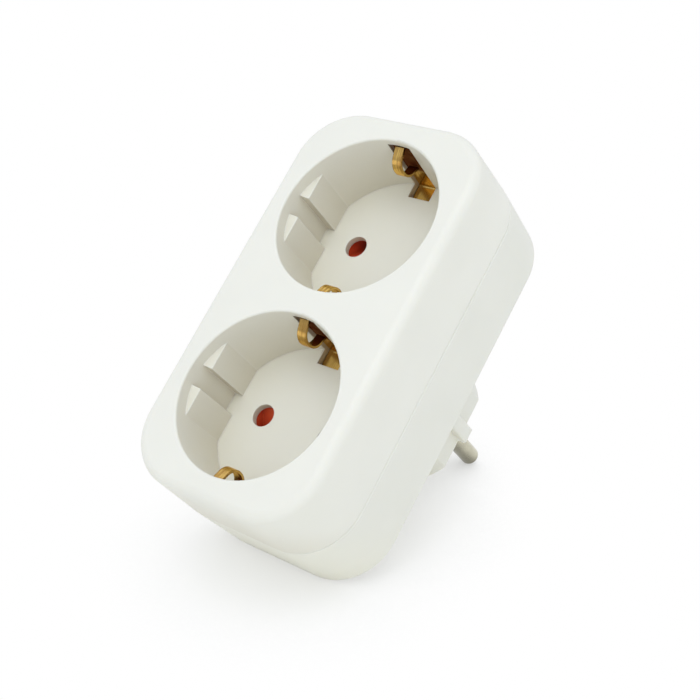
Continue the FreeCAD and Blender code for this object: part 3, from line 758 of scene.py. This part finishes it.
@dataclass(frozen=True)
class ClipBrass(WorkedMetal):
    """Brass with painted shade on its risers, deep in the wells' walls: a dark brown matte coat.

    Attributes:
        riser_shade: The colour of the risers' painted shade.
        riser: Where the painted shade starts and is full, in metres from the well's centre.
        fade: Where the painted shade ends and is full below the front face, in metres.
        riser_shade_grain: How many grains and how many patches a metre of the painted shade has.
        riser_shade_spread: How complete the painted shade is in its thin and thick patches.
        riser_shade_cover: How much metal shine the painted shade takes.
        riser_shade_roughness: How much rougher the painted shade is.
        hidden_shade: The painted shade on the clips' inner faces, between the clip and the riser.
        bend: Where that tint starts and is full, in metres from the well's centre.
        edge_hue: The hue of reflections that graze the brass.
    """

    riser_shade: Colour = (0.105, 0.022, 0.007)
    riser: Span = (0.0202, 0.0205)
    fade: Span = (0.0142, 0.0127)
    riser_shade_grain: Span = (1400.0, 420.0)
    riser_shade_spread: Span = (0.88, 1.0)
    riser_shade_cover: float = 0.97
    riser_shade_roughness: float = 0.35
    hidden_shade: Tint = Tint((0.13, 0.060, 0.020), reach=0.004)
    bend: Span = (0.0160, 0.0166)
    edge_hue: Colour = (1.0, 0.80, 0.50)

    def upper_slot(self, sheet: FinishSheet, start: Span) -> Socket:
        """The mask of the clip's upper part beyond a distance from the well's centre.

        Args:
            sheet: The material's sheet.
            start: Where the mask starts and is full, in metres.

        Returns:
            The mask.
        """
        return sheet.effect(Effect.SLOT, From=start[0], To=start[1], Low=self.fade[0],
                            High=self.fade[1])["Upper"]

    def make(self, shelf: EffectShelf) -> Material:
        """Builds the material.

        Args:
            shelf: Where the shared groups are kept.

        Returns:
            The finished material.
        """
        material = super().make(shelf)
        sheet = FinishSheet(material.node_tree, shelf)
        shader = sheet.find("BSDF_PRINCIPLED")
        body, rough = (shader.inputs[name].links[0].from_socket
                       for name in ("Base Color", "Roughness"))
        # Painted shade on the risers: a dark brown, patchy, nearly matte coat where the well's
        # inside lies in shade.
        grain = sheet.effect(Effect.GRAIN, Fineness=self.riser_shade_grain[0],
                             Patches=self.riser_shade_grain[1])
        dust_and_shade_layer = sheet.product(self.upper_slot(sheet, self.riser),
                             sheet.spread(grain["Patch"], *self.riser_shade_spread))
        # Painted shade on the clips' inner faces, between the clip and the riser.
        dark = sheet.product(self.upper_slot(sheet, self.bend), sheet.recess(self.hidden_shade))
        body = sheet.blend(dark, body, self.hidden_shade.colour)
        sheet.join(sheet.blend(dust_and_shade_layer, body, self.riser_shade), shader.inputs["Base Color"])
        sheet.join(sheet.maths("SUBTRACT", 1.0, sheet.product(dust_and_shade_layer, self.riser_shade_cover)),
                   shader.inputs["Metallic"])
        sheet.join(sheet.maths("ADD", rough, sheet.product(dust_and_shade_layer, self.riser_shade_roughness)),
                   shader.inputs["Roughness"])
        shader.inputs["Specular IOR Level"].default_value = 0.0
        shader.inputs["Specular Tint"].default_value = (*self.edge_hue, 1.0)
        return material


@dataclass
class Cabinet:
    """All finishes of the adapter, made once."""

    shelf: EffectShelf = field(default_factory=EffectShelf)
    made: dict[str, Material] = field(default_factory=dict)

    front_plastic: WellPlastic = WellPlastic(
        "front_white_plastic", (0.838, 0.828, 0.748), 0.42, 0.0004, (0.824, 0.814, 0.735),
        glow=0.10, dust=0.04)
    rear_plastic: MouldedPlastic = MouldedPlastic(
        "rear_white_plastic", (0.812, 0.805, 0.725), 0.43, 0.0004, (0.798, 0.791, 0.711),
        glow=0.10, dust=0.03)
    tray_plastic: MouldedPlastic = MouldedPlastic(
        "tray_plastic", (0.72, 0.72, 0.68), 0.5, 0.0002, (0.70, 0.70, 0.66), dust=0.0,
        shade=Tint((0.66, 0.65, 0.58), reach=0.030, depth=0.15),
        rim_highlight=Tint((0.78, 0.78, 0.74), 0.8, 0.0005))
    # Shutters: a darker painted shade near the holes' walls and a paler painted highlight on the
    # rims.
    shutter_plastic: MouldedPlastic = MouldedPlastic(
        "shutter_red_plastic", (0.93, 0.155, 0.050), 0.30, 0.0002, (0.80, 0.100, 0.034),
        glow=0.05, dust=0.0, shade=Tint((0.60, 0.060, 0.020), reach=0.003, depth=0.15),
        rim_highlight=Tint((0.92, 0.17, 0.06), 0.8, 0.0005))
    # Clip brass: its dark edge tint is painted shade, its recess colour a lighter painted brass.
    clip_brass: ClipBrass = ClipBrass(
        "clip_brass", (0.97, 0.66, 0.20), 0.16, 0.00010, (0.42, 0.22, 0.055),
        Tint((0.34, 0.17, 0.045), 0.6, 0.00045), lines=0.00032, streak=0.9,
        painted_corner=Tint((0.94, 0.65, 0.22), depth=0.05))
    contact_brass: WorkedMetal = WorkedMetal(
        "contact_brass", (0.76, 0.56, 0.25), 0.26, 0.0001, (0.55, 0.38, 0.17),
        Tint((0.90, 0.72, 0.38), 0.6, 0.00015))
    busbar_brass: WorkedMetal = WorkedMetal(
        "busbar_brass", (0.74, 0.55, 0.26), 0.3, 0.0001, (0.56, 0.40, 0.19),
        Tint((0.88, 0.71, 0.38), 0.6, 0.00015))
    rivet_brass: WorkedMetal = WorkedMetal(
        "rivet_brass", (0.72, 0.53, 0.26), 0.34, 0.0001, (0.52, 0.37, 0.18),
        Tint((0.86, 0.69, 0.36), 0.6, 0.00015), along=(1.0, 1.0, 1.0))
    # Pins: the dark corner colour, also laid on faces that look down, is painted shade.
    pin_nickel: WorkedMetal = WorkedMetal(
        "pin_nickel", (0.63, 0.61, 0.475), 0.16, 0.00012, (0.49, 0.47, 0.365),
        Tint((0.78, 0.76, 0.68), 0.4, 0.00015), along=(1.0, 0.08, 0.08), lines=0.0003,
        streak=0.5, painted_corner=Tint((0.27, 0.255, 0.195)), underside=0.85)
    strap_nickel: WorkedMetal = WorkedMetal(
        "strap_nickel", (0.66, 0.65, 0.61), 0.28, 0.00012, (0.54, 0.52, 0.48),
        Tint((0.80, 0.79, 0.75), 0.4, 0.00015), painted_corner=Tint((0.34, 0.33, 0.29)))
    spring_steel: WorkedMetal = WorkedMetal(
        "spring_steel", (0.58, 0.58, 0.57), 0.25, 0.00005, (0.45, 0.44, 0.43),
        Tint((0.75, 0.75, 0.74), 0.6, 0.00015), painted_corner=Tint((0.30, 0.29, 0.28)))
    screw_zinc: WorkedMetal = WorkedMetal(
        "screw_zinc", (0.62, 0.64, 0.64), 0.3, 0.00012, (0.50, 0.51, 0.50),
        Tint((0.78, 0.79, 0.79), 0.6, 0.00015), along=(1.0, 1.0, 1.0),
        painted_corner=Tint((0.28, 0.28, 0.27)))

    def give(self, finish: Finish) -> Material:
        """Hands out a material, which is built at its first use.

        Args:
            finish: The finish that is wanted.

        Returns:
            Its material.
        """
        if finish.name not in self.made:
            self.made[finish.name] = finish.make(self.shelf)
            LOG.info("finish %s", finish.name)
        return self.made[finish.name]

    def dress(self, piece: bpy.types.Object, finish: Finish) -> None:
        """Gives one piece a finish.

        Args:
            piece: The object to dress.
            finish: Its finish.
        """
        material = self.give(finish)
        if not piece.material_slots:
            piece.data.materials.append(material)
        for place in piece.material_slots:
            place.material = material


@dataclass
class Assembly:
    """A group of pieces that are dressed together.

    Attributes:
        frame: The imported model.
        cabinet: The finishes.
    """

    frame: dict
    cabinet: Cabinet

    def node(self, name: str) -> bpy.types.Object:
        """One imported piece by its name."""
        return self.frame["nodes"][name]

    def dress_nodes(self, finish: Finish, *names: str) -> None:
        """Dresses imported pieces.

        Args:
            finish: Their finish.
            names: Their names.
        """
        for name in names:
            self.cabinet.dress(self.node(name), finish)
            LOG.info("dressed %s", name)


@dataclass
class Shell(Assembly):
    """The front housing and the rear cover."""

    def build(self) -> None:
        """Dresses both halves."""
        self.dress_nodes(self.cabinet.front_plastic, "front_housing")
        self.dress_nodes(self.cabinet.rear_plastic, "rear_cover")


@dataclass
class Plug(Assembly):
    """The pins and earth contacts of the plug on the back."""

    def build(self) -> None:
        """Dresses the plug's metal."""
        self.dress_nodes(self.cabinet.pin_nickel, "left_plug_pin", "right_plug_pin")
        self.dress_nodes(self.cabinet.strap_nickel, "plug_earth_strap", "earth_sleeve")
        self.dress_nodes(self.cabinet.rivet_brass, "earth_rivet")


@dataclass
class Contacts(Assembly):
    """The earth clips, live contacts and busbars."""

    def build(self) -> None:
        """Dresses the sheet metal inside the wells and behind them."""
        self.dress_nodes(self.cabinet.clip_brass, "upper_earth_strap", "lower_earth_strap",
                         "earth_link")
        for well in Well:
            self.dress_nodes(self.cabinet.contact_brass, well.value + "_left_contact",
                             well.value + "_right_contact")
        self.dress_nodes(self.cabinet.busbar_brass, "left_busbar", "right_busbar")
        self.dress_nodes(self.cabinet.rivet_brass, "contact_rivets")


@dataclass
class Shutter(Assembly):
    """One well's shutter, its tray and its return spring.

    Attributes:
        well: The well that it closes.
        wire: The radius of the spring's wire, in metres.
        turns: The spring's turns.
        dead_turns: The closed turns at each end.
        closed: The share of the spring's length that each closed end takes.
        steps: The points on each turn.
        wire_sides: The sides of the wire's section.
    """

    well: Well = Well.UPPER
    wire: float = 0.0002
    turns: float = 6.5
    dead_turns: float = 0.9
    closed: float = 0.05
    steps: int = 28
    wire_sides: int = 10

    def build(self) -> None:
        """Dresses the mouldings and winds the spring."""
        name = self.well.value
        self.dress_nodes(self.cabinet.shutter_plastic, name + "_shutter")
        self.dress_nodes(self.cabinet.tray_plastic, name + "_shutter_tray")
        spring = self.wind_spring()
        self.cabinet.dress(spring, self.cabinet.spring_steel)
        LOG.info("wound %s", spring.name)

    def slide(self) -> dict:
        """The frame's row on this shutter's joint."""
        name = self.well.value + "_shutter_slide"
        return next(row for row in self.frame["joints"] if row["name"] == name)

    def wind_spring(self) -> bpy.types.Object:
        """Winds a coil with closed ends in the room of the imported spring.

        Returns:
            The spring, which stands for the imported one.
        """
        node_name = self.well.value + "_shutter_spring"
        along = Vector(self.slide()["axis"]).normalized()
        across = Vector((1.0, 0.0, 0.0))
        upward = along.cross(across).normalized()
        points = [v.co for v in self.node(node_name).data.vertices]
        spans = [(min(p.dot(a) for p in points), max(p.dot(a) for p in points))
                 for a in (along, across, upward)]
        low, high = spans[0]
        centre = across * (sum(spans[1]) / 2) + upward * (sum(spans[2]) / 2)
        coil = (spans[1][1] - spans[1][0]) / 2 - self.wire
        rings = self.coil_points(centre, (along, across, upward), coil, (low, high))
        name = self.well.value + "_return_spring"
        spring = bpy.data.objects.new(name, self.skin(rings, name))
        bpy.context.scene.collection.objects.link(spring)
        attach(spring, "housing")
        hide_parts(node_name)
        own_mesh(spring)
        return spring

    def coil_points(self, centre: Vector, axes: tuple[Vector, Vector, Vector], coil: float,
                    room: Span) -> list[list[Vector]]:
        """Lays out the wire's sections along the coil.

        Args:
            centre: The coil's middle line, where it crosses the plane square to the slide.
            axes: The slide's direction and two directions square to it.
            coil: The radius of the wire's middle line.
            room: Where the spring's room starts and ends along the slide.

        Returns:
            The sections, each a ring of points.
        """
        along, across, upward = axes
        start = room[0] + self.wire
        length = room[1] - room[0] - 2 * self.wire
        rings = []
        count = int(self.turns * self.steps)
        for i in range(count + 1):
            angle = 2 * math.pi * i / self.steps
            heading = across * math.cos(angle) + upward * math.sin(angle)
            place = centre + along * (start + length * self.rise(i / count)) + heading * coil
            ring = []
            for k in range(self.wire_sides):
                turn = 2 * math.pi * k / self.wire_sides
                offset = heading * math.cos(turn) + along * math.sin(turn)
                ring.append(place + offset * self.wire)
            rings.append(ring)
        return rings

    def skin(self, rings: list[list[Vector]], name: str) -> bpy.types.Mesh:
        """Covers a row of sections with faces and closes both ends.

        Args:
            rings: The sections, each a ring of points.
            name: The mesh's name.

        Returns:
            The closed mesh.
        """
        mesh = bmesh.new()
        wire = [[mesh.verts.new(point) for point in ring] for ring in rings]
        for before, after in zip(wire, wire[1:]):
            for k in range(self.wire_sides):
                m = (k + 1) % self.wire_sides
                mesh.faces.new((before[k], before[m], after[m], after[k]))
        mesh.faces.new(wire[0][::-1])
        mesh.faces.new(wire[-1])
        bmesh.ops.recalc_face_normals(mesh, faces=mesh.faces)
        data = bpy.data.meshes.new(name)
        mesh.to_mesh(data)
        mesh.free()
        data.shade_smooth()
        return data

    def rise(self, share: float) -> float:
        """How far along its length the wire is at a share of its turns.

        Args:
            share: From 0 at the first turn's start to 1 at the last turn's end.

        Returns:
            From 0 to 1, slow in the closed turns at both ends.
        """
        dead = self.dead_turns / self.turns
        if share < dead:
            return self.closed * share / dead
        if share > 1 - dead:
            return 1 - self.closed * (1 - share) / dead
        return self.closed + (1 - 2 * self.closed) * (share - dead) / (1 - 2 * dead)


@dataclass
class Screws(Assembly):
    """The four screws in the back."""

    def build(self) -> None:
        """Dresses the screws."""
        self.dress_nodes(self.cabinet.screw_zinc, "housing_screws")


@dataclass(frozen=True)
class Lamp:
    """A square soft lamp that looks at the adapter.

    Attributes:
        name: The lamp's name.
        place: Where it hangs.
        size: Its width in metres.
        power: Its power in watts.
        hue: The colour of its light.
        target: The point that it looks at.
    """

    name: str
    place: Place
    size: float
    power: float
    hue: Colour = (0.975, 1.0, 1.04)
    target: Place = (0.0, 0.0, 0.045)

    def hang(self) -> None:
        """Hangs the lamp."""
        data = bpy.data.lights.new(self.name, "AREA")
        data.size = self.size
        data.energy = self.power
        data.color = self.hue
        lamp = bpy.data.objects.new(self.name, data)
        lamp.location = self.place
        sight = Vector(self.target) - Vector(self.place)
        lamp.rotation_euler = sight.to_track_quat("-Z", "Y").to_euler()
        bpy.context.scene.collection.objects.link(lamp)


@dataclass
class Studio:
    """The pale table and the soft light round it.

    Attributes:
        table_reach: Half the table's width in metres.
        table_colour: The table's colour.
        table_roughness: The table's roughness.
        table_whiteness: The share of plain white in the table's look, close to the
            adapter and in the open.
        table_openness: The shares of open sky that count as close and as open.
        shadow_reach: How far the adapter's shade reaches over the table, in metres.
        room_level: The level of the light from all round.
        room_hue: The colour of that light.
        room_slope: Its share below the table's edge and overhead.
        room_heights: The heights between which it grows, on a sphere of radius 1.
        card_count: How many soft bright cards stand round the table.
        card_turn: Where the first card stands, in radians from the X axis.
        card_contrast: How much brighter than the room the cards are.
        card_heights: The heights between which the cards fade out.
        lamps: The large lamp above and the smaller one on the right.
    """

    table_reach: float = 6.0
    table_colour: Colour = (0.91, 0.91, 0.88)
    table_roughness: float = 0.7
    table_whiteness: Span = (0.45, 1.0)
    table_openness: Span = (0.46, 0.84)
    shadow_reach: float = 0.035
    room_level: float = 0.885
    room_hue: Colour = (0.967, 1.0, 1.055)
    room_slope: Span = (0.85, 1.05)
    room_heights: Span = (-0.2, 0.9)
    card_count: int = 3
    card_turn: float = math.radians(-60)
    card_contrast: float = 0.35
    card_heights: Span = (0.15, 0.85)
    lamps: tuple[Lamp, ...] = (
        Lamp("key_lamp", (0.25, -0.55, 1.15), 0.9, 3.0),
        Lamp("fill_lamp", (0.9, -0.35, 0.5), 0.6, 0.5),
    )

    def build(self) -> None:
        """Lays the table and sets the light."""
        self.lay_table()
        self.light_room()
        for lamp in self.lamps:
            lamp.hang()
        bpy.context.scene.view_settings.view_transform = "Standard"
        LOG.info("studio")

    def lay_table(self) -> None:
        """Lays a flat pale table under the adapter."""
        reach = self.table_reach
        corners = [(-reach, -reach, 0), (reach, -reach, 0), (reach, reach, 0), (-reach, reach, 0)]
        data = bpy.data.meshes.new("table")
        data.from_pydata(corners, [], [(0, 1, 2, 3)])
        table = bpy.data.objects.new("table", data)
        bpy.context.scene.collection.objects.link(table)
        data.materials.append(self.white_table())

    def white_table(self) -> Material:
        """Makes a pale surface that shows white in the open, keeps the real shadow and paints a
        deeper shadow close to the adapter.

        Returns:
            The material.
        """
        material = bpy.data.materials.new("white_table")
        material.use_nodes = True
        sheet = NodeSheet(material.node_tree)
        shader = sheet.find("BSDF_PRINCIPLED")
        shader.inputs["Base Color"].default_value = (*self.table_colour, 1.0)
        shader.inputs["Roughness"].default_value = self.table_roughness
        glow = sheet.add("Emission", Color=(1.0, 1.0, 1.0, 1.0), Strength=1.0)
        light_path = sheet.add("LightPath").outputs
        seen = sheet.maths("ADD", light_path["Is Glossy Ray"], light_path["Is Transmission Ray"])
        seen = sheet.maths("MINIMUM", sheet.maths("ADD", seen, light_path["Is Camera Ray"]), 1.0)
        # Close to the adapter the white share falls with the open sky: a painted shadow over the
        # real one.
        white = sheet.spread(sheet.open_sky(self.shadow_reach), *self.table_whiteness,
                             *self.table_openness)
        mix = sheet.add("MixShader")
        sheet.join(sheet.product(seen, white), mix.inputs[0])
        sheet.join(shader.outputs[0], mix.inputs[1])
        sheet.join(glow.outputs[0], mix.inputs[2])
        sheet.join(mix.outputs[0], sheet.find("OUTPUT_MATERIAL").inputs["Surface"])
        return material

    def light_room(self) -> None:
        """Sets a room light with soft cards that shows white to the camera."""
        world = bpy.data.worlds.new("room")
        bpy.context.scene.world = world
        world.use_nodes = True
        world.node_tree.nodes.clear()
        sheet = NodeSheet(world.node_tree)
        direction = sheet.split(sheet.add("TexCoord").outputs["Generated"])
        low, high = (share * self.room_level for share in self.room_slope)
        level = sheet.spread(direction["Z"], low, high, *self.room_heights)
        around = sheet.maths("ARCTAN2", direction["Y"], direction["X"])
        turned = sheet.maths("SUBTRACT", around, self.card_turn)
        wave = sheet.maths("COSINE", sheet.product(turned, float(self.card_count)))
        height = sheet.maths("ABSOLUTE", direction["Z"])
        strength = sheet.spread(height, self.card_contrast, 0.0, *self.card_heights)
        cards = sheet.maths("ADD", 1.0, sheet.product(wave, strength))
        room = sheet.add("Background", Color=(*self.room_hue, 1.0))
        sheet.join(sheet.product(level, cards), room.inputs["Strength"])
        white = sheet.add("Background", Color=(1.0, 1.0, 1.0, 1.0), Strength=1.0)
        mix = sheet.add("MixShader")
        sheet.join(sheet.add("LightPath").outputs["Is Camera Ray"], mix.inputs[0])
        sheet.join(room.outputs[0], mix.inputs[1])
        sheet.join(white.outputs[0], mix.inputs[2])
        sheet.join(mix.outputs[0], sheet.add("OutputWorld").inputs["Surface"])


@dataclass
class PhotoCamera:
    """The camera at the photograph's angle.

    Attributes:
        azimuth: The turn from looking along +Y, in degrees.
        elevation: The height above the horizon, in degrees.
        roll: The turn about the line of sight, in degrees.
        target: The point in the middle of the picture.
        distance: How far the camera stands from it, in metres.
        lens: The focal length in millimetres.
        sensor: The sensor's width in millimetres.
        near: The shortest distance that the camera sees, in metres.
    """

    azimuth: float = 39.003
    elevation: float = 24.996
    roll: float = -0.673
    target: Place = (0.0, 0.00192, 0.04372)
    distance: float = 0.29948
    lens: float = 66.11
    sensor: float = 36.0
    near: float = 0.01

    def build(self) -> None:
        """Sets the camera up."""
        turn, lift = math.radians(self.azimuth), math.radians(self.elevation)
        back = Vector((math.sin(turn) * math.cos(lift), -math.cos(turn) * math.cos(lift),
                       math.sin(lift)))
        data = bpy.data.cameras.new("photo_camera")
        data.sensor_width = self.sensor
        data.lens = self.lens
        data.clip_start = self.near
        camera = bpy.data.objects.new("photo_camera", data)
        bpy.context.scene.collection.objects.link(camera)
        level = (-back).to_track_quat("-Z", "Y").to_matrix().to_4x4()
        rolled = level @ Matrix.Rotation(math.radians(self.roll), 4, "Z")
        place = Vector(self.target) + back * self.distance
        camera.matrix_world = Matrix.Translation(place) @ rolled
        bpy.context.scene.camera = camera
        LOG.info("camera")


def main() -> None:
    """Builds every assembly in order."""
    logging.basicConfig(level=logging.INFO, format="%(message)s")
    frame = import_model()
    cabinet = Cabinet()
    PhotoCamera().build()
    Studio().build()
    Shell(frame, cabinet).build()
    Plug(frame, cabinet).build()
    Contacts(frame, cabinet).build()
    for well in Well:
        Shutter(frame, cabinet, well).build()
    Screws(frame, cabinet).build()


if __name__ == "__main__":
    main()
